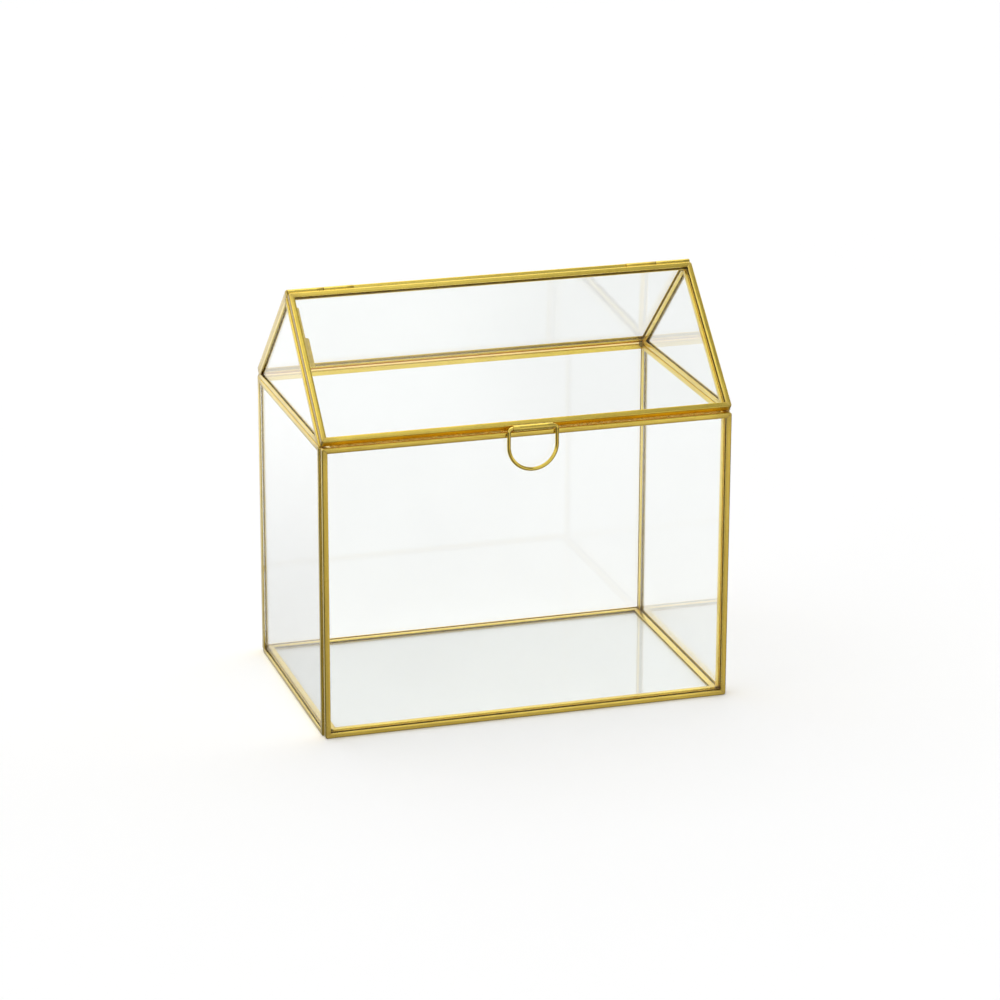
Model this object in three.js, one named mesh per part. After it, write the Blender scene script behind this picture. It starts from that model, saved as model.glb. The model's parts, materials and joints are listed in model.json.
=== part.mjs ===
// Glass and brass card box shaped like a small house.
// Every pane is edged with its own mitred brass U-channel, and the edged panes
// are joined side by side.  The front roof slope is the lid: it turns on two
// short tube hinges in the notch of the ridge and carries a D-ring pull.
// Units are millimetres, +Z up.  X runs along the ridge, -Y is the front.
import * as THREE from 'three';

// ---------------------------------------------------------------- dimensions
const WIDTH = 250;            // outer width along X
const DEPTH = 156;            // front wall face to back wall face
const WALL_H = 177.5;         // height of the four walls
const ROOF_DEG = 42.7;        // roof slope above the horizontal
const T = 5;                  // outer thickness of an edged pane
const FLANGE = 3.2;           // width of a channel face
const SHEET = 0.6;            // brass sheet thickness of a channel
const BEND = 0.7;             // outer bend radius of a channel
const GLASS_T = 3;            // glass thickness
const FLOOR_T = 4;            // the floor pane's edging is shallower
const FLOOR_GLASS_T = 2.4;    // and its glass thinner
const GLASS_INSET = 1.0;      // glass edge inside the panel outline
const INSET_X = 0.8;          // front, back and roof panels stop this far short of the sides
const GAP = 0.3;              // clearance between neighbouring pieces
const MITRE_GAP = 0.3;        // clearance between two mitred channel ends
const EAVE_Z = WALL_H + 4.0;  // lower outer corner of the roof panels
const RIDGE_GAP = 0.4;        // clearance between the two roof panels at the ridge

const TUBE_R = 1.75;          // hinge knuckle outer radius
const TUBE_BORE = 1.2;        // hinge knuckle bore radius
const TUBE_CLEAR = 0.27;      // knuckle to channel clearance
const PIN_R = 0.95;           // hinge pin radius
const KNUCKLE_OUT = [1.0, 22.4];   // outer knuckle, from the box's side
const KNUCKLE_IN = [22.7, 40.9];   // inner knuckle, from the box's side
const PIN_SPAN = [2.6, 39.4];      // pin, from the box's side

const PULL_X = 1.2;           // pull offset from the middle of the lid
const PULL_R = 1.8;           // pull tube outer radius
const PULL_BORE = 1.4;        // pull tube bore radius
const PULL_LEN = 24.2;        // pull tube length
const WIRE_R = 1.15;          // ring wire radius
const RING_HALF = 14.6;       // half width of the ring between wire centres
const RING_DROP = 25.4;       // tube centre to the wire centre at the bottom
const RING_CORNER = 2.35;     // upper corner radius of the ring
const RING_SEAM = 0.35;       // gap between the wire ends, inside the tube

// ------------------------------------------------------------- derived sizes
const th = THREE.MathUtils.degToRad(ROOF_DEG);
const cs = Math.cos(th), sn = Math.sin(th);
const roofIn = [T * sn, EAVE_Z - T * cs];               // lower inner corner, y and z
const ROOF_LEN = (DEPTH / 2 - RIDGE_GAP / 2 - roofIn[0]) / cs;
const ridgeInZ = roofIn[1] + ROOF_LEN * sn;             // upper inner corner height
const hingeZ = ridgeInZ + (TUBE_R + TUBE_CLEAR - (RIDGE_GAP / 2) * cs) / sn;
const hingeY = DEPTH / 2;
const pullY = -cs * (PULL_R + GAP);
const pullZ = EAVE_Z - sn * (PULL_R + GAP);
// origin: bottom centre of the closed box, the pull included
const X0 = WIDTH / 2;
const Y0 = (DEPTH + pullY - PULL_R) / 2;

// ----------------------------------------------------------------- materials
const brass = () => new THREE.MeshStandardMaterial({ color: 0xc8a03a, metalness: 1.0, roughness: 0.28 });
const brassDark = () => new THREE.MeshStandardMaterial({ color: 0xb08a34, metalness: 1.0, roughness: 0.36 });
const steel = () => new THREE.MeshStandardMaterial({ color: 0x8c7a45, metalness: 1.0, roughness: 0.4 });
const clear = () => new THREE.MeshStandardMaterial({ color: 0xf2f6f4, metalness: 0.0, roughness: 0.03, transparent: true, opacity: 0.25 });

const box = new THREE.Group();
const shift = new THREE.Group();
shift.position.set(-X0, -Y0, 0);
box.add(shift);

const V = (x, y, z) => new THREE.Vector3(x, y, z);

function place(geometry, material, name, xAxis, yAxis, zAxis, origin) {
  const mesh = new THREE.Mesh(geometry, material);
  mesh.name = name;
  const m = new THREE.Matrix4().makeBasis(xAxis, yAxis, zAxis);
  mesh.quaternion.setFromRotationMatrix(m);
  mesh.position.copy(origin);
  shift.add(mesh);
  return mesh;
}

// U-channel section: x runs inward from the outer edge, y through the thickness.
function channelShape(T) {
  const s = new THREE.Shape();
  s.moveTo(BEND, 0);
  s.lineTo(FLANGE, 0);
  s.lineTo(FLANGE, SHEET);
  s.lineTo(SHEET, SHEET);
  s.lineTo(SHEET, T - SHEET);
  s.lineTo(FLANGE, T - SHEET);
  s.lineTo(FLANGE, T);
  s.lineTo(BEND, T);
  for (const a of [30, 60, 90]) {
    const r = THREE.MathUtils.degToRad(a);
    s.lineTo(BEND - BEND * Math.sin(r), T - BEND + BEND * Math.cos(r));
  }
  for (const a of [0, 30, 60]) {
    const r = THREE.MathUtils.degToRad(a);
    s.lineTo(BEND - BEND * Math.cos(r), BEND - BEND * Math.sin(r));
  }
  s.closePath();
  return s;
}

// One straight channel with both ends cut to the mitre: slope k is the run
// along the channel for each millimetre inward, g the end clearance.
function channelGeometry(length, k0, g0, k1, g1, thick) {
  const geo = new THREE.ExtrudeGeometry(channelShape(thick), { depth: length, steps: 1, bevelEnabled: false });
  const p = geo.attributes.position;
  for (let i = 0; i < p.count; i++) {
    const u = p.getX(i);
    if (p.getZ(i) < length / 2) p.setZ(i, g0 + u * k0);
    else p.setZ(i, length - g1 - u * k1);
  }
  return geo;
}

// Edged pane: a convex outline, counter-clockwise seen from outside, in the
// plane through O with axes U and V2 and outward normal N.
function edgedPane(prefix, O, U, V2, N, outline, names, thick = T, glassThick = GLASS_T) {
  const n = outline.length;
  const at = (p, depth) => O.clone().addScaledVector(U, p[0]).addScaledVector(V2, p[1]).addScaledVector(N, -depth);
  const half = [];
  for (let i = 0; i < n; i++) {
    const a = outline[(i + n - 1) % n], b = outline[i], c = outline[(i + 1) % n];
    const e0 = new THREE.Vector2(a[0] - b[0], a[1] - b[1]).normalize();
    const e1 = new THREE.Vector2(c[0] - b[0], c[1] - b[1]).normalize();
    half.push(Math.acos(e0.dot(e1)) / 2);
  }
  for (let i = 0; i < n; i++) {
    const j = (i + 1) % n;
    const p0 = at(outline[i], thick), p1 = at(outline[j], thick);
    const e = p1.clone().sub(p0);
    const length = e.length();
    e.normalize();
    const inward = N.clone().cross(e);
    const geo = channelGeometry(length,
      1 / Math.tan(half[i]), (MITRE_GAP / 2) / Math.sin(half[i]),
      1 / Math.tan(half[j]), (MITRE_GAP / 2) / Math.sin(half[j]), thick);
    place(geo, brass(), names[i], inward, N, e, p0);
  }
  // the glass follows the outline, set in by GLASS_INSET
  const shape = new THREE.Shape();
  for (let i = 0; i < n; i++) {
    const a = outline[(i + n - 1) % n], b = outline[i], c = outline[(i + 1) % n];
    const e0 = new THREE.Vector2(a[0] - b[0], a[1] - b[1]).normalize();
    const e1 = new THREE.Vector2(c[0] - b[0], c[1] - b[1]).normalize();
    const bis = e0.add(e1).normalize();
    const d = GLASS_INSET / Math.sin(half[i]);
    const q = [b[0] + bis.x * d, b[1] + bis.y * d];
    if (i === 0) shape.moveTo(q[0], q[1]); else shape.lineTo(q[0], q[1]);
  }
  shape.closePath();
  const glass = new THREE.ExtrudeGeometry(shape, { depth: glassThick, steps: 1, bevelEnabled: false });
  place(glass, clear(), `${prefix}_glass`, U, V2, N,
    O.clone().addScaledVector(N, -(thick + glassThick) / 2));
}

const rect = (u0, v0, u1, v1) => [[u0, v0], [u1, v0], [u1, v1], [u0, v1]];
const X = V(1, 0, 0), Y = V(0, 1, 0), Z = V(0, 0, 1);
const neg = (v) => v.clone().negate();

// ------------------------------------------------------------------ the walls
edgedPane('front', V(0, 0, 0), X, Z, neg(Y), rect(INSET_X, 0, WIDTH - INSET_X, WALL_H),
  ['front_bottom_channel', 'front_right_channel', 'front_top_channel', 'front_left_channel']);
edgedPane('back', V(WIDTH, DEPTH, 0), neg(X), Z, Y, rect(INSET_X, 0, WIDTH - INSET_X, WALL_H),
  ['back_bottom_channel', 'back_left_channel', 'back_top_channel', 'back_right_channel']);
edgedPane('left', V(0, DEPTH, 0), neg(Y), Z, neg(X), rect(T + GAP, 0, DEPTH - T - GAP, WALL_H),
  ['left_bottom_channel', 'left_front_channel', 'left_top_channel', 'left_back_channel']);
edgedPane('right', V(WIDTH, 0, 0), Y, Z, X, rect(T + GAP, 0, DEPTH - T - GAP, WALL_H),
  ['right_bottom_channel', 'right_back_channel', 'right_top_channel', 'right_front_channel']);

// ------------------------------------------------------------------ the floor
edgedPane('floor', V(0, DEPTH, 0), X, neg(Y), neg(Z),
  rect(T + GAP, T + GAP, WIDTH - T - GAP, DEPTH - T - GAP),
  ['floor_back_channel', 'floor_right_channel', 'floor_front_channel', 'floor_left_channel'],
  FLOOR_T, FLOOR_GLASS_T);

// ----------------------------------------------------------------- the gables
const gableZ = WALL_H + GAP;
const gableP = [roofIn[0] + GAP * sn, roofIn[1] - GAP * cs];      // a point on the slope line
const gableY = gableP[0] + (gableZ - gableP[1]) * cs / sn;        // lower front corner
const gableTop = gableZ + (DEPTH / 2 - gableY) * sn / cs;         // apex height
edgedPane('left_gable', V(0, DEPTH, 0), neg(Y), Z, neg(X),
  [[gableY, gableZ], [DEPTH - gableY, gableZ], [DEPTH / 2, gableTop]],
  ['left_gable_base_channel', 'left_gable_front_channel', 'left_gable_back_channel']);
edgedPane('right_gable', V(WIDTH, 0, 0), Y, Z, X,
  [[gableY, gableZ], [DEPTH - gableY, gableZ], [DEPTH / 2, gableTop]],
  ['right_gable_base_channel', 'right_gable_back_channel', 'right_gable_front_channel']);

// --------------------------------------------------- the back roof and the lid
edgedPane('back_roof', V(WIDTH, DEPTH, EAVE_Z), neg(X), V(0, -cs, sn), V(0, sn, cs),
  rect(INSET_X, 0, WIDTH - INSET_X, ROOF_LEN),
  ['back_roof_bottom_channel', 'back_roof_left_channel', 'back_roof_top_channel', 'back_roof_right_channel']);
edgedPane('door', V(0, 0, EAVE_Z), X, V(0, cs, sn), V(0, -sn, cs),
  rect(INSET_X, 0, WIDTH - INSET_X, ROOF_LEN),
  ['door_bottom_channel', 'door_right_channel', 'door_top_channel', 'door_left_channel']);

// ---------------------------------------------------------------- the hinges
// Closed lathe profile about the tube's axis, which is then laid along X.
function tube(name, rOut, rIn, x0, x1, y, z, material) {
  const L = x1 - x0;
  const prof = [[rIn, 0], [rOut, 0], [rOut, L], [rIn, L], [rIn, 0]].map(([r, h]) => new THREE.Vector2(r, h));
  const mesh = new THREE.Mesh(new THREE.LatheGeometry(prof, 24), material);
  mesh.name = name;
  mesh.rotation.z = -Math.PI / 2;
  mesh.position.set(x0, y, z);
  shift.add(mesh);
}
function rod(name, r, x0, x1, y, z, material) {
  const L = x1 - x0;
  const c = 0.25;
  const prof = [[0, 0], [r - c, 0], [r, c], [r, L - c], [r - c, L], [0, L]].map(([a, h]) => new THREE.Vector2(a, h));
  const mesh = new THREE.Mesh(new THREE.LatheGeometry(prof, 20), material);
  mesh.name = name;
  mesh.rotation.z = -Math.PI / 2;
  mesh.position.set(x0, y, z);
  shift.add(mesh);
}
tube('left_outer_knuckle', TUBE_R, TUBE_BORE, KNUCKLE_OUT[0], KNUCKLE_OUT[1], hingeY, hingeZ, brassDark());
tube('left_inner_knuckle', TUBE_R, TUBE_BORE, KNUCKLE_IN[0], KNUCKLE_IN[1], hingeY, hingeZ, brassDark());
rod('left_hinge_pin', PIN_R, PIN_SPAN[0], PIN_SPAN[1], hingeY, hingeZ, steel());
tube('right_outer_knuckle', TUBE_R, TUBE_BORE, WIDTH - KNUCKLE_OUT[1], WIDTH - KNUCKLE_OUT[0], hingeY, hingeZ, brassDark());
tube('right_inner_knuckle', TUBE_R, TUBE_BORE, WIDTH - KNUCKLE_IN[1], WIDTH - KNUCKLE_IN[0], hingeY, hingeZ, brassDark());
rod('right_hinge_pin', PIN_R, WIDTH - PIN_SPAN[1], WIDTH - PIN_SPAN[0], hingeY, hingeZ, steel());

// ------------------------------------------------------------------ the pull
tube('pull_tube', PULL_R, PULL_BORE, WIDTH / 2 + PULL_X - PULL_LEN / 2, WIDTH / 2 + PULL_X + PULL_LEN / 2,
  pullY, pullZ, brassDark());

// D-shaped wire ring: its straight top runs through the tube, where its two
// ends meet, and it hangs from there.
class RingPath extends THREE.Curve {
  constructor() {
    super();
    const a = RING_HALF, c = RING_CORNER, low = -(RING_DROP - RING_HALF);
    this.parts = [];
    const line = (x0, z0, x1, z1) => {
      const L = Math.hypot(x1 - x0, z1 - z0);
      this.parts.push({ L, at: (s) => [x0 + (x1 - x0) * s / L, z0 + (z1 - z0) * s / L] });
    };
    const arc = (cx, cz, r, a0, a1) => {
      const L = Math.abs(a1 - a0) * r;
      this.parts.push({ L, at: (s) => { const q = a0 + (a1 - a0) * s / L; return [cx + r * Math.cos(q), cz + r * Math.sin(q)]; } });
    };
    line(RING_SEAM / 2, 0, a - c, 0);
    arc(a - c, -c, c, Math.PI / 2, 0);
    line(a, -c, a, low);
    arc(0, low, a, 0, -Math.PI);
    line(-a, low, -a, -c);
    arc(-a + c, -c, c, Math.PI, Math.PI / 2);
    line(-a + c, 0, -RING_SEAM / 2, 0);
    this.total = this.parts.reduce((s, p) => s + p.L, 0);
  }
  getPoint(t, target = new THREE.Vector3()) {
    let s = Math.min(Math.max(t, 0), 1) * this.total;
    for (let i = 0; i < this.parts.length; i++) {
      const p = this.parts[i];
      if (s <= p.L || i === this.parts.length - 1) {
        const [x, z] = p.at(Math.min(s, p.L));
        return target.set(x, 0, z);
      }
      s -= p.L;
    }
    return target;
  }
}
const wire = new THREE.Shape();
for (let i = 0; i < 14; i++) {
  const q = (i / 14) * Math.PI * 2;
  if (i === 0) wire.moveTo(WIRE_R, 0); else wire.lineTo(WIRE_R * Math.cos(q), WIRE_R * Math.sin(q));
}
wire.closePath();
const ring = new THREE.Mesh(
  new THREE.ExtrudeGeometry(wire, { steps: 88, bevelEnabled: false, extrudePath: new RingPath() }), brass());
ring.name = 'pull_ring';
ring.position.set(WIDTH / 2 + PULL_X, pullY, pullZ);
shift.add(ring);

export default box;
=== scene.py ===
import json
import math
import bpy
from mathutils import Vector, Matrix

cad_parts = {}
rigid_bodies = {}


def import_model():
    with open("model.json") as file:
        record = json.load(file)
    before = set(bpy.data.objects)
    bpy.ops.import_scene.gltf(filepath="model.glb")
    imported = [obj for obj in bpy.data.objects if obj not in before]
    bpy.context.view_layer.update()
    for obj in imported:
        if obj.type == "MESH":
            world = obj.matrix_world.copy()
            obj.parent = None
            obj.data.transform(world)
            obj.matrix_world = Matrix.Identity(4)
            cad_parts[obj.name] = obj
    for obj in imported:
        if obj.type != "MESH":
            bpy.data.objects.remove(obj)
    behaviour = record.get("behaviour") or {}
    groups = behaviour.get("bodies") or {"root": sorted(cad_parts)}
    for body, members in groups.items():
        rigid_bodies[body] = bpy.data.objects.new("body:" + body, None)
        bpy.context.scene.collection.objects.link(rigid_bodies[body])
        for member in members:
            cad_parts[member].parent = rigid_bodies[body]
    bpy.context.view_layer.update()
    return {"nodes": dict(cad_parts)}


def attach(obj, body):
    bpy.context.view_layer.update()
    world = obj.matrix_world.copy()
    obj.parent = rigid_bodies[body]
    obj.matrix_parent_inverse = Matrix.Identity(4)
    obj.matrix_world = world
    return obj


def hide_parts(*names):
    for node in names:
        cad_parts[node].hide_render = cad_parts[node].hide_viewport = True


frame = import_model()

MM = 0.001

# ------------------------------------------------------------------ sizes, mm
WIDTH, DEPTH, WALL_H, ROOF_DEG = 250.0, 156.0, 177.5, 42.7
T, FLANGE, SHEET, BEND = 5.0, 3.2, 0.6, 0.7
INSET_X, GAP, MITRE_GAP = 0.8, 0.3, 0.3
EAVE_Z, RIDGE_GAP = WALL_H + 4.0, 0.4
FLOOR_T = 4.0
CORNER = 1.4  # the filed outer corners of each frame
TUBE_R, TUBE_BORE, TUBE_CLEAR, PIN_R = 1.75, 1.2, 0.27, 0.95
KN_OUT, KN_IN, PIN_SPAN = (1.0, 22.4), (22.7, 40.9), (2.6, 39.4)
PULL_X, PULL_R, PULL_BORE, PULL_LEN = 1.2, 1.8, 1.4, 24.2
WIRE_R, RING_HALF, RING_DROP, RING_CORNER, RING_SEAM = 1.15, 14.6, 25.4, 2.35, 0.35

th = math.radians(ROOF_DEG)
cs, sn = math.cos(th), math.sin(th)
roof_in = (T * sn, EAVE_Z - T * cs)
ROOF_LEN = (DEPTH / 2 - RIDGE_GAP / 2 - roof_in[0]) / cs
ridge_in_z = roof_in[1] + ROOF_LEN * sn
hinge_z = ridge_in_z + (TUBE_R + TUBE_CLEAR - (RIDGE_GAP / 2) * cs) / sn
hinge_y = DEPTH / 2
pull_y = -cs * (PULL_R + GAP)
pull_z = EAVE_Z - sn * (PULL_R + GAP)
X0, Y0 = WIDTH / 2, (DEPTH + pull_y - PULL_R) / 2
ORIGIN = Vector((X0, Y0, 0.0))

scene = bpy.context.scene


def P(v):
    """A point in building millimetres to the row frame in metres."""
    return (Vector(v) - ORIGIN) * MM


# ------------------------------------------------------------- node materials
class Nodes:
    """Small helper to write a node tree as expressions."""

    def __init__(self, tree):
        self.t = tree
        self.n = tree.nodes
        self.l = tree.links

    def add(self, kind, **props):
        node = self.n.new(kind)
        for k, v in props.items():
            setattr(node, k, v)
        return node

    def put(self, socket, value):
        if isinstance(value, bpy.types.NodeSocket):
            self.l.new(value, socket)
        elif value is not None:
            socket.default_value = value

    def math(self, op, a, b=None, clamp=False):
        m = self.add("ShaderNodeMath", operation=op, use_clamp=clamp)
        self.put(m.inputs[0], a)
        if b is not None:
            self.put(m.inputs[1], b)
        return m.outputs[0]

    def vmath(self, op, a, b=None, out=0):
        m = self.add("ShaderNodeVectorMath", operation=op)
        self.put(m.inputs[0], a)
        if b is not None:
            self.put(m.inputs[1], b)
        return m.outputs[out]

    def ramp(self, x, a, b, lo=0.0, hi=1.0, smooth=True):
        m = self.add("ShaderNodeMapRange", interpolation_type="SMOOTHSTEP" if smooth else "LINEAR")
        m.clamp = True
        self.put(m.inputs["Value"], x)
        m.inputs["From Min"].default_value = a
        m.inputs["From Max"].default_value = b
        m.inputs["To Min"].default_value = lo
        m.inputs["To Max"].default_value = hi
        return m.outputs["Result"]

    def mix(self, f, a, b, mode="MIX"):
        m = self.add("ShaderNodeMix", data_type="RGBA", blend_type=mode)
        self.put(m.inputs["Factor"], f)
        self.put(m.inputs["A"], a if isinstance(a, bpy.types.NodeSocket) else (*a[:3], 1.0))
        self.put(m.inputs["B"], b if isinstance(b, bpy.types.NodeSocket) else (*b[:3], 1.0))
        for s in m.outputs:
            if s.type == "RGBA" and s.enabled:
                return s
        return m.outputs[2]

    def noise(self, vec, scale, detail=2.0, rough=0.5, dim="3D"):
        m = self.add("ShaderNodeTexNoise", noise_dimensions=dim)
        self.put(m.inputs["Vector"], vec)
        m.inputs["Scale"].default_value = scale
        m.inputs["Detail"].default_value = detail
        m.inputs["Roughness"].default_value = rough
        return m.outputs["Fac"] if "Fac" in m.outputs else m.outputs[0]

    def mapping(self, vec, scale=(1, 1, 1), loc=(0, 0, 0), rot=(0, 0, 0)):
        m = self.add("ShaderNodeMapping")
        self.put(m.inputs["Vector"], vec)
        m.inputs["Scale"].default_value = scale
        m.inputs["Location"].default_value = loc
        m.inputs["Rotation"].default_value = rot
        return m.outputs[0]


def new_material(name):
    m = bpy.data.materials.new(name)
    m.use_nodes = True
    m.node_tree.nodes.clear()
    g = Nodes(m.node_tree)
    out = g.add("ShaderNodeOutputMaterial")
    b = g.add("ShaderNodeBsdfPrincipled")
    g.l.new(b.outputs[0], out.inputs["Surface"])
    return m, g, b


BRASS_HI = (0.895, 0.690, 0.125)
BRASS_LO = (0.800, 0.588, 0.090)
BRASS_TARNISH = (0.420, 0.285, 0.055)
# the colour of the painted shade inside the channels
BRASS_RECESS_SHADE = (0.320, 0.205, 0.040)


def brass_material(name, streaks=True, rough=(0.16, 0.30), tone=1.0, heat=1.0, seed=0.0):
    """Drawn brass: fine lines along the length, soft patches of tone, darker and
    browner where it was soldered."""
    m, g, b = new_material(name)
    uv = g.add("ShaderNodeUVMap", uv_map="along").outputs[0]
    obj = g.add("ShaderNodeTexCoord").outputs["Object"]
    # soft patches of tone, a few centimetres long
    patch = g.noise(g.mapping(obj, loc=(seed, seed * 0.7, 0)), 38.0, 3.0, 0.55)
    patch = g.ramp(patch, 0.36, 0.66)
    fine = g.noise(g.mapping(obj, loc=(seed, 2.0, 1.0)), 420.0, 4.0, 0.6)
    if streaks:
        # u runs along the piece in centimetres, v round it in millimetres
        lines = g.noise(g.mapping(uv, scale=(0.7, 9.0, 1.0), loc=(seed, seed, 0)), 1.0, 4.0, 0.62)
        broad = g.noise(g.mapping(uv, scale=(0.35, 1.6, 1.0), loc=(seed + 3, seed, 0)), 1.0, 2.0, 0.5)
    else:
        lines = g.noise(g.mapping(obj, scale=(1, 1, 1)), 900.0, 3.0, 0.6)
        broad = g.noise(obj, 120.0, 2.0, 0.5)
    tone_mix = g.math("ADD", g.math("MULTIPLY", patch, 0.45), g.math("MULTIPLY", g.ramp(broad, 0.35, 0.68), 0.55))
    col = g.mix(tone_mix, BRASS_HI, BRASS_LO)
    col = g.mix(g.ramp(lines, 0.56, 0.80, 0.0, 0.30), col, BRASS_TARNISH)
    # solder heat near the joints, and small specks
    end = g.add("ShaderNodeAttribute", attribute_name="joint").outputs["Fac"]
    ragged = g.math("MULTIPLY", end, g.ramp(fine, 0.30, 0.70, 0.55, 1.0))
    col = g.mix(g.math("MULTIPLY", ragged, 0.70 * heat), col, BRASS_TARNISH)
    # painted shade: the sheet's inside, in the channel under the glass, is darkened towards brown
    recess_shade = g.add("ShaderNodeAttribute", attribute_name="recess_shade").outputs["Fac"]
    col = g.mix(g.math("MULTIPLY", recess_shade, g.ramp(fine, 0.30, 0.70, 0.80, 0.98)), col, BRASS_RECESS_SHADE)
    speck = g.noise(obj, 1500.0, 1.0, 0.5)
    col = g.mix(g.ramp(speck, 0.71, 0.80, 0.0, 0.5), col, (0.30, 0.19, 0.05))
    if tone != 1.0:
        col = g.mix(1.0, col, (tone, tone, tone), "MULTIPLY")
    g.put(b.inputs["Base Color"], col)
    # the painted shade also makes the inside of the channel partly diffuse, so it stays dark
    g.put(b.inputs["Metallic"], g.math("SUBTRACT", 1.0, g.math("MULTIPLY", recess_shade, 0.55)))
    # clear lacquer
    b.inputs["Coat Weight"].default_value = 0.45
    b.inputs["Coat Roughness"].default_value = 0.10
    r = g.math("ADD", g.math("MULTIPLY", lines, rough[1] - rough[0]), rough[0])
    r = g.math("ADD", r, g.math("MULTIPLY", ragged, 0.14))
    r = g.math("ADD", r, g.math("MULTIPLY", patch, 0.05), clamp=True)
    g.put(b.inputs["Roughness"], r)
    # relief: drawn lines, and the slight waviness of hand-folded sheet
    bump1 = g.add("ShaderNodeBump")
    bump1.inputs["Strength"].default_value = 0.10
    bump1.inputs["Distance"].default_value = 0.00006
    g.put(bump1.inputs["Height"], lines)
    bump2 = g.add("ShaderNodeBump")
    bump2.inputs["Strength"].default_value = 0.55
    bump2.inputs["Distance"].default_value = 0.00022
    wave = g.noise(g.mapping(uv, scale=(0.55, 0.22, 1.0), loc=(seed * 1.7, 1, 0)), 1.0, 2.0, 0.5) if streaks else g.noise(obj, 90.0, 2.0, 0.5)
    g.put(bump2.inputs["Height"], wave)
    g.l.new(bump1.outputs[0], bump2.inputs["Normal"])
    g.l.new(bump2.outputs[0], b.inputs["Normal"])
    return m


def solder_material(name, tone):
    m, g, b = new_material(name)
    obj = g.add("ShaderNodeTexCoord").outputs["Object"]
    n1 = g.noise(obj, 520.0, 4.0, 0.6)
    n2 = g.noise(obj, 160.0, 2.0, 0.5)
    col = g.mix(g.ramp(n1, 0.35, 0.70), tuple(v * tone for v in (0.82, 0.62, 0.17)), tuple(v * tone for v in (0.46, 0.30, 0.07)))
    col = g.mix(g.ramp(n2, 0.45, 0.72, 0.0, 0.6), col, tuple(v * tone for v in (0.33, 0.22, 0.06)))
    g.put(b.inputs["Base Color"], col)
    b.inputs["Metallic"].default_value = 1.0
    g.put(b.inputs["Roughness"], g.ramp(n1, 0.3, 0.7, 0.22, 0.46))
    bump = g.add("ShaderNodeBump")
    bump.inputs["Strength"].default_value = 0.5
    bump.inputs["Distance"].default_value = 0.00012
    g.put(bump.inputs["Height"], n1)
    g.l.new(bump.outputs[0], b.inputs["Normal"])
    return m


def glass_material(name, tint):
    m, g, b = new_material(name)
    obj = g.add("ShaderNodeTexCoord").outputs["Object"]
    n = g.noise(obj, 22.0, 3.0, 0.5)
    col = g.mix(g.ramp(n, 0.35, 0.7), tint, tuple(c * 0.992 for c in tint))
    g.put(b.inputs["Base Color"], col)
    g.put(b.inputs["Roughness"], g.ramp(g.noise(obj, 60.0, 4.0, 0.6), 0.45, 0.85, 0.0, 0.012))
    b.inputs["IOR"].default_value = 1.5
    b.inputs["Transmission Weight"].default_value = 1.0
    return m


MAT_CHANNEL = [brass_material(f"drawn_brass_{i}", True, (0.15, 0.28), 1.0, 1.0, 1.37 * i) for i in range(4)]
MAT_TUBE = brass_material("tube_brass", True, (0.18, 0.32), 0.97, 0.8, 6.1)
MAT_WIRE = brass_material("wire_brass", True, (0.07, 0.15), 0.94, 0.5, 8.3)
MAT_PIN = brass_material("pin_brass", False, (0.28, 0.42), 0.6, 1.0, 2.2)
MAT_SOLDER = solder_material("solder_brass", 1.0)
MAT_NODE = solder_material("solder_dull", 0.42)
MAT_GLASS = glass_material("clear_glass", (0.978, 0.988, 0.983))


# ------------------------------------------------------------------- geometry
def u_section(thick=T, bend_in=BEND, bend_out=BEND):
    """The channel's section as pairs (outer point, inner point) from one flange
    tip round the web to the other: x inward from the outer edge, y through the
    thickness.  Also each outer point's normal and its run along the section."""

    def half(bend):
        pts = []  # from the tip of a flange at y = 0 to the middle of the web
        r = 0.16
        for a in (0, 30, 60, 90):
            q = math.radians(a)
            x = FLANGE - r + r * math.cos(q)
            pts.append(((x, r - r * math.sin(q)), (x, SHEET - r + r * math.sin(q)), (math.cos(q), -math.sin(q))))
        for x in (FLANGE * 0.62, FLANGE * 0.36):
            pts.append(((x, 0.0), (x, SHEET), (0.0, -1.0)))
        ci = 0.08
        for a in (0, 15, 30, 45, 60, 75, 90):
            q = math.radians(a)
            n = (-math.sin(q), -math.cos(q))
            pts.append(((bend + bend * n[0], bend + bend * n[1]),
                        (SHEET + ci + ci * n[0], SHEET + ci + ci * n[1]), n))
        return pts

    low, high = half(bend_in), half(bend_out)
    mid = [((0.0, thick / 2), (SHEET, thick / 2), (-1.0, 0.0))]
    full = low + mid + [((o[0], thick - o[1]), (i[0], thick - i[1]), (n[0], -n[1])) for o, i, n in reversed(high)]
    run, s = [], 0.0
    for k, (o, _, _) in enumerate(full):
        if k:
            p = full[k - 1][0]
            s += math.hypot(o[0] - p[0], o[1] - p[1])
        run.append(s)
    return full, run


def rounded(x, z, length, square0, square1):
    """Moves a point of a frame so that its square outer corners are rounded."""
    rc = CORNER
    if x < rc:
        if square0 and z < rc:
            t = min(1.0, (rc - z) / (rc - x)) * math.pi / 4
            return rc - (rc - x) * math.cos(t), rc - (rc - x) * math.sin(t)
        if square1 and length - z < rc:
            t = min(1.0, (rc - (length - z)) / (rc - x)) * math.pi / 4
            return rc - (rc - x) * math.cos(t), length - rc + (rc - x) * math.sin(t)
    return x, z


def finish_mesh(obj, angle=35.0):
    me = obj.data
    for p in me.polygons:
        p.use_smooth = True
    me.set_sharp_from_angle(angle=math.radians(angle))


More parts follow.
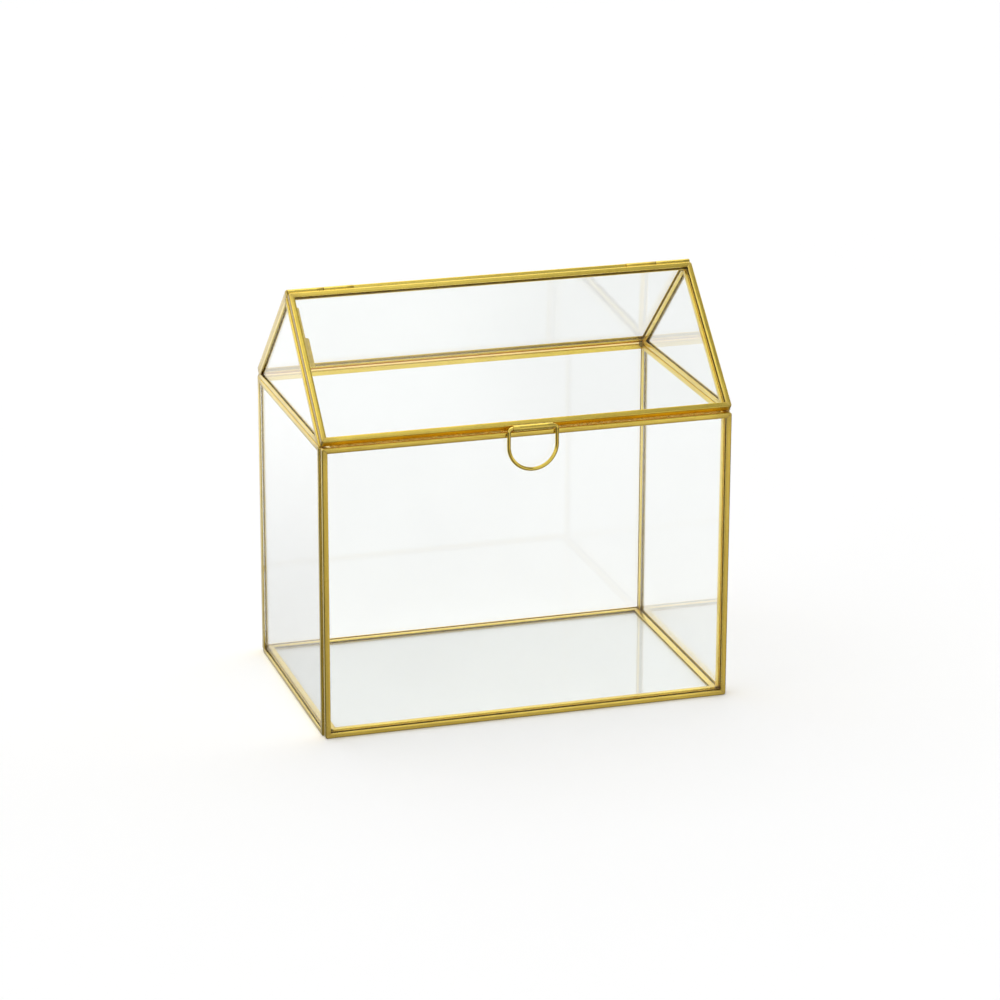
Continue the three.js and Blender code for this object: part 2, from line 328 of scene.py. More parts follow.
def make_object(name, verts, faces, mat, uvs=None, joint=None, angle=35.0, recess_shade=None):
    me = bpy.data.meshes.new(name)
    me.from_pydata([tuple(v) for v in verts], [], faces)
    me.update()
    if uvs is not None:
        layer = me.uv_layers.new(name="along")
        for li, loop in enumerate(me.loops):
            layer.data[li].uv = uvs[loop.vertex_index]
    else:
        me.uv_layers.new(name="along")
    a = me.attributes.new("joint", "FLOAT", "POINT")
    a.data.foreach_set("value", joint if joint is not None else [0.0] * len(verts))
    # per-vertex weight of the painted shade inside the channels
    a = me.attributes.new("recess_shade", "FLOAT", "POINT")
    a.data.foreach_set("value", recess_shade if recess_shade is not None else [0.0] * len(verts))
    me.materials.append(mat)
    obj = bpy.data.objects.new(name, me)
    scene.collection.objects.link(obj)
    finish_mesh(obj, angle)
    return obj


def channel(name, origin, x_ax, y_ax, z_ax, length, k0, g0, k1, g1, section, run, mat, index, web_gap_shade=0.0, inner=1.0):
    """A mitred brass channel, all quads, with eased ends and filed corners."""
    n = len(section)
    outline = [(o, nn, 0.0) for o, _, nn in section] + [(i, (-nn[0], -nn[1]), 1.0) for _, i, nn in reversed(section)]
    m = len(outline)
    lines = run + [run[-1] + 0.6 + (run[-1] - r) for r in reversed(run)]
    steps = max(6, int(length / 9.0))
    near = (0.0, 0.07, 0.18, 0.45, 0.75, 1.05, 1.4)
    ease = {0.0: 0.10, 0.07: 0.03}
    stations = [("a", q, ease.get(q, 0.0)) for q in near]
    stations += [("m", k / steps, 0.0) for k in range(1, steps)]
    stations += [("b", q, ease.get(q, 0.0)) for q in reversed(near)]
    sq0, sq1 = abs(k0 - 1) < 1e-4, abs(k1 - 1) < 1e-4
    verts, uvs, joint, recess_shade, faces = [], [], [], [], []
    for kind, s, inset in stations:
        for j, ((x, y), (nx, ny), deep) in enumerate(outline):
            z0, z1 = g0 + x * k0, length - g1 - x * k1
            lo, hi = z0 + 1.4, z1 - 1.4
            z = z0 + s if kind == "a" else z1 - s if kind == "b" else lo + (hi - lo) * s
            px, py = x - nx * inset, y - ny * inset
            wx, wz = rounded(max(px, 0.0), z, length, sq0, sq1)
            verts.append(P(origin + x_ax * wx + y_ax * py + z_ax * wz))
            uvs.append(((z + 37.0 * index) / 10.0, lines[j] + 0.37 * index))
            d = min(z - z0, z1 - z)
            joint.append(math.exp(-max(d, 0.0) / 3.4))
            tip = x > FLANGE - 0.12
            # painted shade: the inside of the channel, and a strip of the web's outer face where frames meet
            recess_shade.append(inner if deep and not tip else web_gap_shade if not deep and x < 0.30 else 0.0)
    for k in range(len(stations) - 1):
        for j in range(m):
            a, b_ = k * m + j, k * m + (j + 1) % m
            faces.append((a, b_, b_ + m, a + m))
    last = (len(stations) - 1) * m
    for j in range(n - 1):
        faces.append((m - 1 - j, m - 2 - j, j + 1, j))
        faces.append((last + j, last + j + 1, last + m - 2 - j, last + m - 1 - j))
    return make_object(name, verts, faces, mat, uvs, joint, 30.0, recess_shade)


# a few bends are folded tighter: where the lid shuts on the front wall
# how strong the painted shade is inside a channel, where it isn't the full amount
INNER_SHADE = {"back_roof_bottom_channel": 0.15, "back_top_channel": 0.15, "back_bottom_channel": 0.4}
# painted shade along the web's edge, where two frames lie close together
WEB_GAP_SHADE = {"door_left_channel": 1.0, "door_right_channel": 0.6, "back_roof_left_channel": 0.4}
TIGHT = {"door_bottom_channel": (0.32, BEND), "front_top_channel": (0.32, BEND)}


def edged_pane(prefix, O, U, V2, N, outline, names, body, thick=T):
    n = len(outline)
    at = lambda p, depth: O + U * p[0] + V2 * p[1] - N * depth
    half = []
    for i in range(n):
        a, b_, c = outline[i - 1], outline[i], outline[(i + 1) % n]
        e0 = Vector((a[0] - b_[0], a[1] - b_[1])).normalized()
        e1 = Vector((c[0] - b_[0], c[1] - b_[1])).normalized()
        half.append(math.acos(max(-1, min(1, e0.dot(e1)))) / 2)
    ends = []
    for i in range(n):
        j = (i + 1) % n
        p0, p1 = at(outline[i], thick), at(outline[j], thick)
        e = p1 - p0
        length = e.length
        e.normalize()
        inward = N.cross(e)
        k0, g0 = 1 / math.tan(half[i]), (MITRE_GAP / 2) / math.sin(half[i])
        k1, g1 = 1 / math.tan(half[j]), (MITRE_GAP / 2) / math.sin(half[j])
        idx = len(bpy.data.objects)
        bends = TIGHT.get(names[i], (BEND, BEND))
        section, run = u_section(thick, *bends)
        o = channel(names[i] + "_brass", p0, inward, N, e, length, k0, g0, k1, g1, section, run, MAT_CHANNEL[idx % 4], idx, WEB_GAP_SHADE.get(names[i], 0.0), INNER_SHADE.get(names[i], 1.0))
        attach(o, body)
        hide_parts(names[i])
        ends.append((p0, inward, e, length, k0, g0, k1, g1))
    # solder run into each mitre: a thin seam, a little proud of the sheet
    section, _ = u_section(thick)
    m = 2 * len(section)
    nsec = len(section)
    outline_pts = [(o, nn, 1) for o, _, nn in section] + [(ii, (-nn[0], -nn[1]), 0) for _, ii, nn in reversed(section)]
    verts, faces, joint = [], [], []
    for i in range(n):
        p0, inw, e, length, k0, g0, k1, g1 = ends[i]             # starts at corner i
        q0, qinw, qe, qlength, qk0, qg0, qk1, qg1 = ends[i - 1]  # ends at corner i
        square = abs(k0 - 1) < 1e-4
        base = len(verts)
        rows = ((1.0, 0.0, 0.12), (0.35, 0.04, 0.0), (-0.35, 0.04, 0.0), (-1.0, 0.0, 0.12))
        for w, proud, under in rows:
            for (x, y), (nx, ny), outer in outline_pts:
                lift = (proud if outer else 0.0) - (0.03 if abs(w) == 1.0 else 0.0)
                lx, ly = x + nx * lift, y + ny * lift
                if outer:  # stay inside the frame's own outline
                    lx = max(lx, 0.0)
                    ly = min(max(ly, 0.0), thick)
                ax, az = rounded(lx, g0 + x * k0 + under, length, square, square)
                bx, bz = rounded(lx, qlength - qg1 - x * qk1 - under, qlength, square, square)
                A = p0 + inw * ax + N * ly + e * az
                B = q0 + qinw * bx + N * ly + qe * bz
                verts.append(P(A.lerp(B, 0.5 - w * 0.5)))
                joint.append(1.0)
        for r in range(3):
            for j in range(m):
                a, b_ = base + r * m + j, base + r * m + (j + 1) % m
                faces.append((a, a + m, b_ + m, b_))
        for j in range(nsec - 1):
            faces.append((base + j, base + j + 1, base + m - 2 - j, base + m - 1 - j))
            t = base + 3 * m
            faces.append((t + m - 1 - j, t + m - 2 - j, t + j + 1, t + j))
    seam = make_object(prefix + "_mitre_solder", verts, faces, MAT_SOLDER, None, joint, 40.0)
    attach(seam, body)


def rect(u0, v0, u1, v1):
    return [(u0, v0), (u1, v0), (u1, v1), (u0, v1)]


X, Y, Z = Vector((1, 0, 0)), Vector((0, 1, 0)), Vector((0, 0, 1))
edged_pane("front", Vector((0, 0, 0)), X, Z, -Y, rect(INSET_X, 0, WIDTH - INSET_X, WALL_H),
           ["front_bottom_channel", "front_right_channel", "front_top_channel", "front_left_channel"], "body")
edged_pane("back", Vector((WIDTH, DEPTH, 0)), -X, Z, Y, rect(INSET_X, 0, WIDTH - INSET_X, WALL_H),
           ["back_bottom_channel", "back_left_channel", "back_top_channel", "back_right_channel"], "body")
edged_pane("left", Vector((0, DEPTH, 0)), -Y, Z, -X, rect(T + GAP, 0, DEPTH - T - GAP, WALL_H),
           ["left_bottom_channel", "left_front_channel", "left_top_channel", "left_back_channel"], "body")
edged_pane("right", Vector((WIDTH, 0, 0)), Y, Z, X, rect(T + GAP, 0, DEPTH - T - GAP, WALL_H),
           ["right_bottom_channel", "right_back_channel", "right_top_channel", "right_front_channel"], "body")
edged_pane("floor", Vector((0, DEPTH, 0)), X, -Y, -Z, rect(T + GAP, T + GAP, WIDTH - T - GAP, DEPTH - T - GAP),
           ["floor_back_channel", "floor_right_channel", "floor_front_channel", "floor_left_channel"], "body", FLOOR_T)
gable_z = WALL_H + GAP
gable_p = (roof_in[0] + GAP * sn, roof_in[1] - GAP * cs)
gable_y = gable_p[0] + (gable_z - gable_p[1]) * cs / sn
gable_top = gable_z + (DEPTH / 2 - gable_y) * sn / cs
tri = [(gable_y, gable_z), (DEPTH - gable_y, gable_z), (DEPTH / 2, gable_top)]
edged_pane("left_gable", Vector((0, DEPTH, 0)), -Y, Z, -X, tri,
           ["left_gable_base_channel", "left_gable_front_channel", "left_gable_back_channel"], "body")
edged_pane("right_gable", Vector((WIDTH, 0, 0)), Y, Z, X, tri,
           ["right_gable_base_channel", "right_gable_back_channel", "right_gable_front_channel"], "body")
edged_pane("back_roof", Vector((WIDTH, DEPTH, EAVE_Z)), -X, Vector((0, -cs, sn)), Vector((0, sn, cs)),
           rect(INSET_X, 0, WIDTH - INSET_X, ROOF_LEN),
           ["back_roof_bottom_channel", "back_roof_left_channel", "back_roof_top_channel", "back_roof_right_channel"], "body")
edged_pane("door", Vector((0, 0, EAVE_Z)), X, Vector((0, cs, sn)), Vector((0, -sn, cs)),
           rect(INSET_X, 0, WIDTH - INSET_X, ROOF_LEN),
           ["door_bottom_channel", "door_right_channel", "door_top_channel", "door_left_channel"], "door")


def lathe_x(name, profile, x0, y, z, mat, seg=56, closed=True, joint_ends=True, seam_angle=None):
    """Turns (r, x) points about an axis along X.  A seam is a fine groove along
    the tube, where the rolled sheet meets."""
    verts, faces, uvs, joint = [], [], [], []
    m = len(profile)
    xs = [p[1] for p in profile]
    lo, hi = min(xs), max(xs)
    for k in range(seg):
        q = 2 * math.pi * k / seg
        for r, x in profile:
            rr = r
            if seam_angle is not None and r > 0:
                d = abs((q - seam_angle + math.pi) % (2 * math.pi) - math.pi)
                if d < 0.09 and r > TUBE_BORE + 0.2:
                    rr = r - 0.16 * (1 - d / 0.09)
            verts.append(P((x0 + x, y + rr * math.cos(q), z + rr * math.sin(q))))
            uvs.append((x / 10.0, q * max(r, 0.3)))
            joint.append(math.exp(-min(x - lo, hi - x) / 1.2) * 0.7 if joint_ends else 0.0)
    for k in range(seg):
        k2 = (k + 1) % seg
        rng = range(m) if closed else range(m - 1)
        for j in rng:
            j2 = (j + 1) % m
            faces.append((k * m + j, k2 * m + j, k2 * m + j2, k * m + j2))
    if not closed:
        faces.append(tuple(k * m for k in range(seg)))
        faces.append(tuple(k * m + m - 1 for k in reversed(range(seg))))
    return make_object(name, verts, faces, mat, uvs, joint, 32.0)


def tube_profile(r_out, r_in, L):
    c = 0.14
    pts = [(r_in + c, 0.0), (r_out - c * 1.3, 0.0), (r_out - c * 0.4, c * 0.4), (r_out, c * 1.3)]
    steps = max(2, int(L / 4))
    pts += [(r_out, c * 1.3 + (L - 2.6 * c) * k / steps) for k in range(1, steps)]
    pts += [(r_out, L - c * 1.3), (r_out - c * 0.4, L - c * 0.4), (r_out - c * 1.3, L), (r_in + c, L), (r_in, L - c)]
    pts += [(r_in, c)]
    return pts


def rod_profile(r, L):
    pts = []
    for a in range(0, 91, 15):
        q = math.radians(a)
        pts.append((max(0.02, r * math.sin(q)), 0.35 - 0.35 * math.cos(q)))
    pts += [(r, L / 2)]
    for a in range(90, -1, -15):
        q = math.radians(a)
        pts.append((max(0.02, r * math.sin(q)), L - 0.35 + 0.35 * math.cos(q)))
    return pts


def fix_normals(obj):
    import bmesh
    bm = bmesh.new()
    bm.from_mesh(obj.data)
    bmesh.ops.recalc_face_normals(bm, faces=bm.faces)
    bm.to_mesh(obj.data)
    bm.free()
    finish_mesh(obj, 32.0)


def tube(name, node, r_out, r_in, x0, x1, y, z, body, mat, seam=None):
    o = lathe_x(name, tube_profile(r_out, r_in, x1 - x0), x0, y, z, mat, 64, True, True, seam)
    fix_normals(o)
    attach(o, body)
    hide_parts(node)
    return o


for side in ("left", "right"):
    flip = (lambda a, b_: (a, b_)) if side == "left" else (lambda a, b_: (WIDTH - b_, WIDTH - a))
    a, b_ = flip(*KN_OUT)
    tube(f"{side}_outer_knuckle_tube", f"{side}_outer_knuckle", TUBE_R, TUBE_BORE, a, b_, hinge_y, hinge_z, "body", MAT_TUBE, math.radians(-60))
    a, b_ = flip(*KN_IN)
    tube(f"{side}_inner_knuckle_tube", f"{side}_inner_knuckle", TUBE_R, TUBE_BORE, a, b_, hinge_y, hinge_z, "door", MAT_TUBE, math.radians(-120))
    a, b_ = flip(*PIN_SPAN)
    pin = lathe_x(f"{side}_pin_rod", rod_profile(PIN_R, b_ - a), a, hinge_y, hinge_z, MAT_PIN, 40, False, False)
    fix_normals(pin)
    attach(pin, "body")
    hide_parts(f"{side}_hinge_pin")

tube("pull_tube_brass", "pull_tube", PULL_R, PULL_BORE, WIDTH / 2 + PULL_X - PULL_LEN / 2,
     WIDTH / 2 + PULL_X + PULL_LEN / 2, pull_y, pull_z, "door", MAT_TUBE, math.radians(100))


# ------------------------------------------------------------------- the ring
def ring_path():
    a, c, low = RING_HALF, RING_CORNER, -(RING_DROP - RING_HALF)
    pts = []

    def line(x0, z0, x1, z1, n):
        for k in range(n):
            t = k / n
            pts.append((x0 + (x1 - x0) * t, z0 + (z1 - z0) * t))

    def arc(cx, cz, r, a0, a1, n):
        for k in range(n):
            q = a0 + (a1 - a0) * k / n
            pts.append((cx + r * math.cos(q), cz + r * math.sin(q)))

    line(RING_SEAM / 2, 0, a - c, 0, 8)
    arc(a - c, -c, c, math.pi / 2, 0, 10)
    line(a, -c, a, low, 8)
    arc(0, low, a, 0, -math.pi, 72)
    line(-a, low, -a, -c, 8)
    arc(-a + c, -c, c, math.pi, math.pi / 2, 10)
    line(-a + c, 0, -RING_SEAM / 2, 0, 8)
    pts.append((-RING_SEAM / 2, 0))
    return pts


def make_ring():
    pts = ring_path()
    seg = 28
    verts, faces, uvs, joint = [], [], [], []
    cx = WIDTH / 2 + PULL_X
    s = 0.0
    for k, (x, z) in enumerate(pts):
        p, q = pts[max(k - 1, 0)], pts[min(k + 1, len(pts) - 1)]
        t = Vector((q[0] - p[0], 0, q[1] - p[1])).normalized()
        nrm = Vector((t.z, 0, -t.x))
        if k:
            s += math.hypot(x - pts[k - 1][0], z - pts[k - 1][1])
        for j in range(seg):
            a = 2 * math.pi * j / seg
            off = nrm * math.cos(a) + Y * math.sin(a)
            verts.append(P(Vector((cx + x, pull_y, pull_z + z)) + off * WIRE_R))
            uvs.append((s / 10.0, a * WIRE_R))
            # bends of the wire are a little dulled
            joint.append(0.35 if z > -RING_CORNER * 1.6 else 0.0)
    n = len(pts)
    for k in range(n - 1):
        for j in range(seg):
            a, b_ = k * seg + j, k * seg + (j + 1) % seg
            faces.append((a, b_, b_ + seg, a + seg))
    faces.append(tuple(reversed(range(seg))))
    faces.append(tuple((n - 1) * seg + j for j in range(seg)))
    o = make_object("pull_ring_wire", verts, faces, MAT_WIRE, uvs, joint, 40.0)
    fix_normals(o)
    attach(o, "pull_ring")
    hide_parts("pull_ring")
    return o


make_ring()


# ------------------------------------------------------------- solder fillets
def wobble(x, seed):
    return (math.sin(x * 1.31 + seed) + math.sin(x * 2.17 + seed * 2.3) * 0.6 + math.sin(x * 4.9 + seed * 0.7) * 0.35) / 1.95


def fillet(name, body, x0, x1, y, z, r, n_dir, clear, half_w, seed):
    """Solder between a tube (axis along X at y, z) and a flat sheet whose
    surface lies r + clear from the axis in direction n_dir."""
    n_dir = Vector((0, n_dir[0], n_dir[1])).normalized()
    t_dir = Vector((0, -n_dir.z, n_dir.y))
    steps = max(8, int((x1 - x0) / 0.8))
    verts, faces = [], []
    rows = 14
    for k in range(steps + 1):
        x = x0 + (x1 - x0) * k / steps
        e = min(k, steps - k) / 2.0
        taper = min(1.0, 0.35 + e * 0.4)
        w = half_w * taper * (1.0 + 0.16 * wobble(x, seed))
        c = Vector((x, y, z))
        d = r + clear - 0.02
        ring = []
        # sheet side, from one toe to the other
        for s in (-1.0, -0.5, 0.0, 0.5, 1.0):
            ring.append(c + n_dir * (d + (0.03 if abs(s) < 1 else 0.0)) + t_dir * (w * s))
        # concave flank up to the tube
        phi = math.asin(min(0.95, w * 0.78 / r))
        top = c + n_dir * (r * math.cos(phi)) + t_dir * (r * math.sin(phi))
        toe = ring[-1]
        for f in (0.3, 0.65):
            mid = toe.lerp(top, f) + (n_dir * -0.05 - t_dir * 0.10) * (1 - abs(2 * f - 1))
            ring.append(mid)
        for f in (1.0, 0.5, 0.0, -0.5, -1.0):
            q = phi * f
            ring.append(c + n_dir * ((r - 0.05) * math.cos(q)) + t_dir * ((r - 0.05) * math.sin(q)) if abs(f) < 1 else
                        c + n_dir * (r * math.cos(q)) + t_dir * (r * math.sin(q)))
        toe2 = ring[0]
        top2 = ring[-1]
        for f in (0.35, 0.7):
            mid = top2.lerp(toe2, f) + (n_dir * -0.05 + t_dir * 0.10) * (1 - abs(2 * f - 1))
            ring.append(mid)
        rows = len(ring)
        verts += [P(v) for v in ring]
    for k in range(steps):
        for j in range(rows):
            a, b_ = k * rows + j, k * rows + (j + 1) % rows
            faces.append((a, b_, b_ + rows, a + rows))
    faces.append(tuple(reversed(range(rows))))
    faces.append(tuple(steps * rows + j for j in range(rows)))
    o = make_object(name, verts, faces, MAT_SOLDER, None, [1.0] * len(verts), 50.0)
    fix_normals(o)
    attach(o, body)
    return o


to_back = (cs, -sn)     # from the hinge axis square to the back roof's top web
to_door = (-cs, -sn)    # and square to the lid's top web
fillet("left_outer_knuckle_solder", "body", KN_OUT[0] + 0.6, KN_OUT[1] - 0.4, hinge_y, hinge_z, TUBE_R, to_back, TUBE_CLEAR, 1.05, 0.3)
fillet("left_inner_knuckle_solder", "door", KN_IN[0] + 0.4, KN_IN[1] - 0.6, hinge_y, hinge_z, TUBE_R, to_door, TUBE_CLEAR, 1.05, 1.9)
fillet("right_outer_knuckle_solder", "body", WIDTH - KN_OUT[1] + 0.4, WIDTH - KN_OUT[0] - 0.6, hinge_y, hinge_z, TUBE_R, to_back, TUBE_CLEAR, 1.05, 2.7)
fillet("right_inner_knuckle_solder", "door", WIDTH - KN_IN[1] + 0.6, WIDTH - KN_IN[0] - 0.4, hinge_y, hinge_z, TUBE_R, to_door, TUBE_CLEAR, 1.05, 4.1)
# the pull tube on the lid's lower web
fillet("pull_tube_solder", "door", WIDTH / 2 + PULL_X - PULL_LEN / 2 + 0.5, WIDTH / 2 + PULL_X + PULL_LEN / 2 - 0.5,
       pull_y, pull_z, PULL_R, (cs, sn), GAP, 0.9, 5.2)

# ------------------------------------------------- beads, lumps and the tab
def bead(name, body, p0, p1, up, side, w, h, seed, mat, ends=0.9):
    """A low solder bead along p0-p1: half an ellipse, w wide and h high."""
    p0, p1 = Vector(p0), Vector(p1)
    length = (p1 - p0).length
    ax = (p1 - p0).normalized()
    steps = max(10, int(length / 1.2))
    verts, faces = [], []
    m = 11
    for k in range(steps + 1):
        t = length * k / steps
        e = min(t, length - t)
        k_end = min(1.0, math.sqrt(max(0.0, min(1.0, e / ends))) * 0.92 + 0.08)
        hh = h * k_end * (1.0 + 0.07 * wobble(t, seed))
        ww = w * (0.3 + 0.7 * k_end) * (1.0 + 0.05 * wobble(t * 0.7, seed + 2))
        c = p0 + ax * t
        for j in range(m):
            q = math.pi * j / (m - 1)
            verts.append(P(c + side * (ww / 2 * math.cos(q)) + up * (hh * math.sin(q))))
    for k in range(steps):
        for j in range(m):
            a, b_ = k * m + j, k * m + (j + 1) % m
            faces.append((a, b_, b_ + m, a + m))
    faces.append(tuple(reversed(range(m))))
    faces.append(tuple(steps * m + j for j in range(m)))
    o = make_object(name, verts, faces, mat, None, [0.6] * len(verts), 50.0)
    fix_normals(o)
    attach(o, body)
    return o


# the lid shuts behind this lip on top of the front wall
bead("front_lid_lip", "body", (6.2, 4.42, WALL_H - 0.02), (WIDTH - 6.2, 4.42, WALL_H - 0.02), Z, Y, 1.0, 0.62, 0.4, MAT_SOLDER)


def lump(name, body, at, radii, seed, mat):
    """A small frozen drop of solder in a corner."""
    nu, nv = 20, 12
    verts, faces = [], []
    for j in range(1, nv):
        v = math.pi * j / nv
        for i in range(nu):
            u = 2 * math.pi * i / nu
            d = Vector((math.sin(v) * math.cos(u), math.sin(v) * math.sin(u), math.cos(v)))
            k = 1.0 + 0.10 * math.sin(3.1 * d.x + seed) * math.cos(2.3 * d.z + seed) + 0.07 * math.sin(5.3 * d.y + 2 * seed)
            verts.append(P(Vector(at) + Vector((d.x * radii[0], d.y * radii[1], d.z * radii[2])) * k))
    top, bottom = len(verts), len(verts) + 1
    verts += [P(Vector(at) + Vector((0, 0, radii[2]))), P(Vector(at) - Vector((0, 0, radii[2])))]
    for j in range(nv - 2):
        for i in range(nu):
            a, b_ = j * nu + i, j * nu + (i + 1) % nu
            faces.append((a, a + nu, b_ + nu, b_))
    for i in range(nu):
        faces.append((top, i, (i + 1) % nu))
        faces.append((bottom, (nv - 2) * nu + (i + 1) % nu, (nv - 2) * nu + i))
    o = make_object(name, verts, faces, mat, None, [1.0] * len(verts), 60.0)
    fix_normals(o)
    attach(o, body)
    return o


inner_y = DEPTH - T - 0.2
for side, x in (("left", T + 0.1), ("right", WIDTH - T - 0.1)):
    lump(f"{side}_back_eave_solder", "body", (x, inner_y, WALL_H - 0.1), (1.5, 1.5, 1.9), 0.7 if side == "left" else 2.1, MAT_NODE)
    lump(f"{side}_back_floor_solder", "body", (x, inner_y, FLOOR_T - 0.1), (0.9, 0.9, 0.8), 1.3 if side == "left" else 3.4, MAT_NODE)
    lump(f"{side}_front_floor_solder", "body", (x, T + 0.2, FLOOR_T - 0.1), (0.9, 0.9, 0.8), 4.2 if side == "left" else 5.5, MAT_NODE)
    lump(f"{side}_apex_solder", "body", (x, DEPTH / 2 + 0.9, ridge_in_z - 2.6), (0.9, 1.5, 1.3), 2.9 if side == "left" else 0.4, MAT_NODE)


def tab():
    """A thin round-topped brass tab under the lid's left stile."""
    slope = Vector((0, cs, sn))
    deep = Vector((0, sn, -cs))
    base = Vector((0, 0, EAVE_Z))
    top_u, step_u, low_u = TAB["top"], TAB["step"], TAB["low"]
    right = TAB["x1"]
    thin = TAB["thin"]
    outline = [(3.3, low_u), (right, low_u)]
    rc = 1.2
    for k in range(7):
        q = math.pi / 2 * k / 6
        outline.append((right - rc + rc * math.cos(q), step_u - rc + rc * math.sin(q)))
    outline.append((thin + 0.5, step_u))
    outline.append((thin, step_u + 0.6))
    for k in range(5):
        q = math.pi / 2 * k / 4
        outline.append((thin - 0.7 + 0.7 * math.cos(q), top_u - 0.7 + 0.7 * math.sin(q)))
    outline.append((3.3, top_u))
    # offset rings give the sheet its rounded edge
    h0, h1 = T + 0.03, T + 0.25
    n = len(outline)
    cx = sum(p[0] for p in outline) / n
    cu = sum(p[1] for p in outline) / n
    verts, uvs, faces = [], [], []
    rings = ((0.10, h0), (0.0, h0 + 0.07), (0.0, h1 - 0.07), (0.10, h1))
    for inset, h in rings:
        for k in range(n):
            a, b_, c_ = Vector(outline[k - 1]), Vector(outline[k]), Vector(outline[(k + 1) % n])
            t = (c_ - a).normalized()
            nn = Vector((-t.y, t.x))
            p = b_ + nn * inset
            verts.append(P(base + X * p.x + slope * p.y + deep * h))
            uvs.append((p.y / 10.0, p.x))
    for r in range(3):
        for k in range(n):
            a, b_ = r * n + k, r * n + (k + 1) % n
            faces.append((a, b_, b_ + n, a + n))
    faces.append(tuple(reversed(range(n))))
    faces.append(tuple(3 * n + k for k in range(n)))
    o = make_object("lid_left_tab", verts, faces, MAT_CHANNEL[2], uvs, [0.95] * len(verts), 40.0)
    fix_normals(o)
    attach(o, "door")
    return o


TAB = {"top": 93.0, "step": 72.0, "low": 52.5, "x1": 8.0, "thin": 6.0}
tab()

# --------------------------------------------------------------- the glass
for name, obj in frame["nodes"].items():
    if name.endswith("_glass"):
        obj.data.materials.clear()
        obj.data.materials.append(MAT_GLASS)

# --------------------------------------------------------------- the studio
FLOOR_Z = -0.00005


def build_floor():
    n = 24
    half = 40.0
    verts = [(-half + 2 * half * i / n, -half + 2 * half * j / n, FLOOR_Z) for j in range(n + 1) for i in range(n + 1)]
    faces = [(j * (n + 1) + i, j * (n + 1) + i + 1, (j + 1) * (n + 1) + i + 1, (j + 1) * (n + 1) + i) for j in range(n) for i in range(n)]
    me = bpy.data.meshes.new("studio_floor")
    me.from_pydata(verts, [], faces)
    m, g, b = new_material("studio_white")
    obj = g.add("ShaderNodeTexCoord").outputs["Object"]
    col = g.mix(g.noise(obj, 4.0, 2.0, 0.5), (0.93, 0.93, 0.93), (0.945, 0.945, 0.945))
    g.put(b.inputs["Base Color"], col)
    b.inputs["Roughness"].default_value = 0.9
    b.inputs["Specular IOR Level"].default_value = 0.0
    me.materials.append(m)
    o = bpy.data.objects.new("studio_floor", me)
    scene.collection.objects.link(o)
    # brass mirrors the studio instead of the floor sheet
    o.visible_glossy = False
    o.visible_shadow = False
    return o


build_floor()


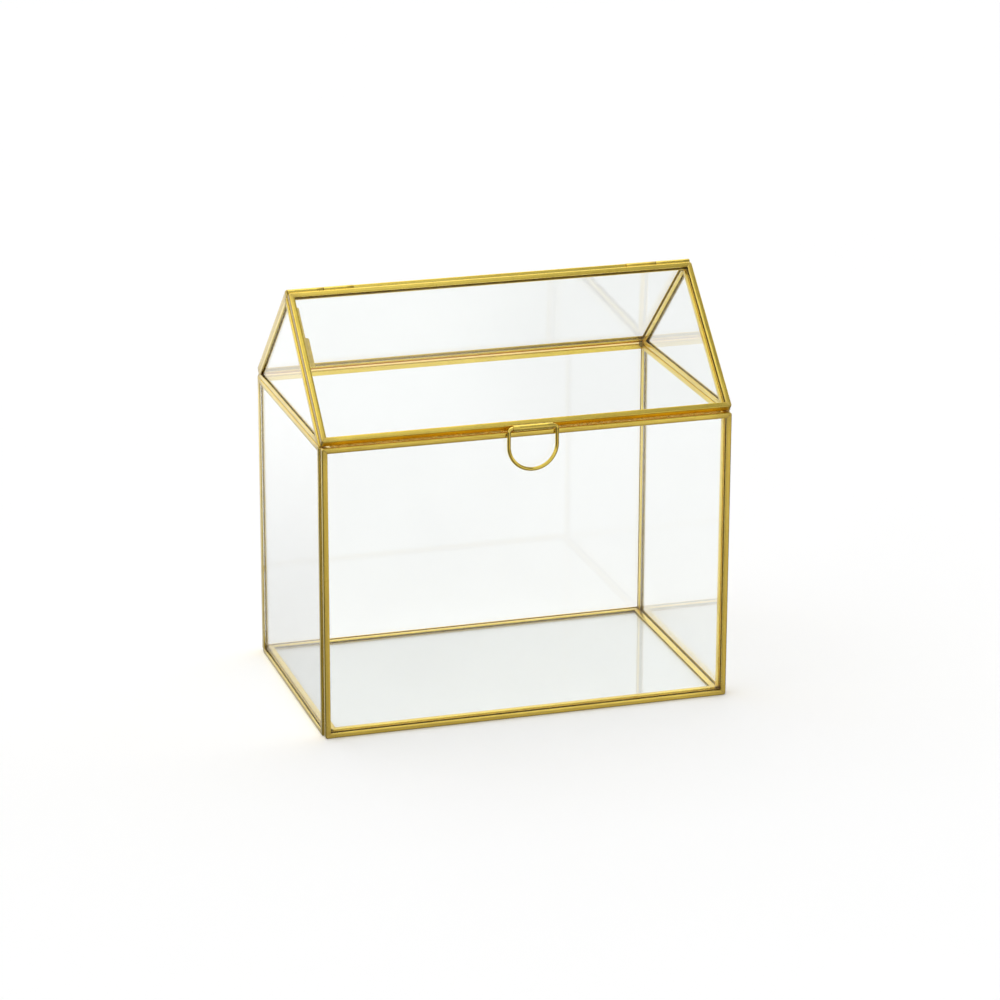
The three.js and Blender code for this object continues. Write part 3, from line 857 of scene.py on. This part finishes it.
def build_world():
    w = bpy.data.worlds.new("studio")
    w.use_nodes = True
    w.node_tree.nodes.clear()
    g = Nodes(w.node_tree)
    d = g.add("ShaderNodeTexCoord").outputs["Generated"]
    sep = g.add("ShaderNodeSeparateXYZ")
    g.put(sep.inputs[0], d)
    x, y, z = sep.outputs

    def lobe(direction, inner, outer):
        v = Vector(direction).normalized()
        dot = g.vmath("DOT_PRODUCT", d, tuple(v), out=1)
        return g.ramp(dot, math.cos(math.radians(outer)), math.cos(math.radians(inner)))

    def lay(level, mask, value):
        keep = g.math("MULTIPLY", level, g.math("SUBTRACT", 1.0, mask))
        return g.math("ADD", keep, g.math("MULTIPLY", mask, value))

    # a white tent, brighter behind and overhead
    level = g.ramp(y, -0.3, 0.8, WORLD["side"], WORLD["back"])
    # less light from the front, so the rails shade the table before them
    fore = g.math("MULTIPLY", g.ramp(y, -0.55, -0.25, 1.0, 0.0), g.ramp(z, 0.02, 0.12))
    level = lay(level, fore, WORLD["fore"])
    level = lay(level, lobe((-0.15, 0.40, 0.90), 18, 44), WORLD["top"])
    # towards the back the table darkens close to the box, which the rails mirror
    table = g.math("MULTIPLY", g.ramp(z, -0.355, -0.285, 1.0, 0.0), g.ramp(y, 0.3, 0.6, 0.0, 1.0))
    level = lay(level, table, WORLD["table"])
    # the near edge of the table in front, below the horizon: lighter to the right
    low = g.ramp(z, -0.255, -0.205, 1.0, 0.0)
    front = g.math("MULTIPLY", low, g.ramp(y, -0.80, -0.35, 1.0, 0.0))
    shade = g.math("ADD", g.ramp(x, 0.20, 0.37, 0.34, 0.58, False), g.ramp(z, -0.335, -0.300, -0.06, 0.24, False))
    level = lay(level, front, shade)
    # dark cards that draw a line along the edges, left and right
    low2 = g.ramp(z, -0.09, 0.02, 1.0, 0.0)
    card = g.math("MULTIPLY", low2, g.math("MULTIPLY", g.ramp(x, -0.52, -0.39, 1.0, 0.0), g.ramp(y, -0.93, -0.84, 0.0, 1.0)))
    level = lay(level, card, WORLD["card"])
    card = g.math("MULTIPLY", low2, g.math("MULTIPLY", g.ramp(x, 0.50, 0.66, 0.0, 1.0), g.ramp(y, -0.75, -0.60, 0.0, 1.0)))
    level = lay(level, card, WORLD["card"])
    # straight down, the shadow under the rails
    level = lay(level, g.ramp(z, -0.80, -0.45, 1.0, 0.0), 0.22)
    # the softbox overhead stops short of the right: the lid darkens that way
    right = g.math("MULTIPLY", g.ramp(x, 0.262, 0.305, 0.0, 1.0), g.math("MULTIPLY", g.ramp(y, -0.02, 0.10, 1.0, 0.0), g.ramp(z, 0.30, 0.50, 0.0, 1.0)))
    level = lay(level, right, WORLD["right"])
    bg = g.add("ShaderNodeBackground")
    comb = g.add("ShaderNodeCombineColor")
    # the table's edge is a little warm
    for i, warm in enumerate((0.0, 0.08, 0.06)):
        g.put(comb.inputs[i], g.math("MULTIPLY", level, g.math("SUBTRACT", 1.0, g.math("MULTIPLY", front, warm))))
    g.put(bg.inputs["Color"], comb.outputs[0])
    bg.inputs["Strength"].default_value = 1.0
    out = g.add("ShaderNodeOutputWorld")
    g.l.new(bg.outputs[0], out.inputs["Surface"])
    scene.world = w


WORLD = {"side": 1.00, "back": 1.10, "top": 1.85, "fore": 0.66, "table": 0.50, "card": 0.12, "right": 0.22}
build_world()


# --------------------------------------------------------------- the camera
R = Matrix(((0.9557144, -0.2942847, 0.0025503), (0.0906811, 0.3027166, 0.9487569), (-0.2799766, -0.9065094, 0.3159967)))
cam_data = bpy.data.cameras.new("camera")
cam_data.sensor_fit = "HORIZONTAL"
cam_data.sensor_width = 36.0
cam_data.lens = 3784.575 / 1000 * 36.0
cam_data.clip_start = 0.05
cam_data.clip_end = 60.0
cam = bpy.data.objects.new("camera", cam_data)
scene.collection.objects.link(cam)
cam.matrix_world = Matrix.Translation(Vector((-0.632431, -2.064952, 0.830230))) @ R.transposed().to_4x4()
scene.camera = cam

scene.view_settings.view_transform = "Standard"
scene.view_settings.look = "None"
scene.view_settings.exposure = 0.0
scene.view_settings.gamma = 1.0
c = scene.cycles
c.max_bounces = 32
c.diffuse_bounces = 4
c.glossy_bounces = 12
c.transmission_bounces = 28
c.transparent_max_bounces = 16
c.sample_clamp_indirect = 8.0
c.blur_glossy = 0.0
c.use_denoising = True
try:
    c.denoiser = "OPENIMAGEDENOISE"
except TypeError:
    c.use_denoising = False
c.caustics_reflective = True
c.caustics_refractive = True
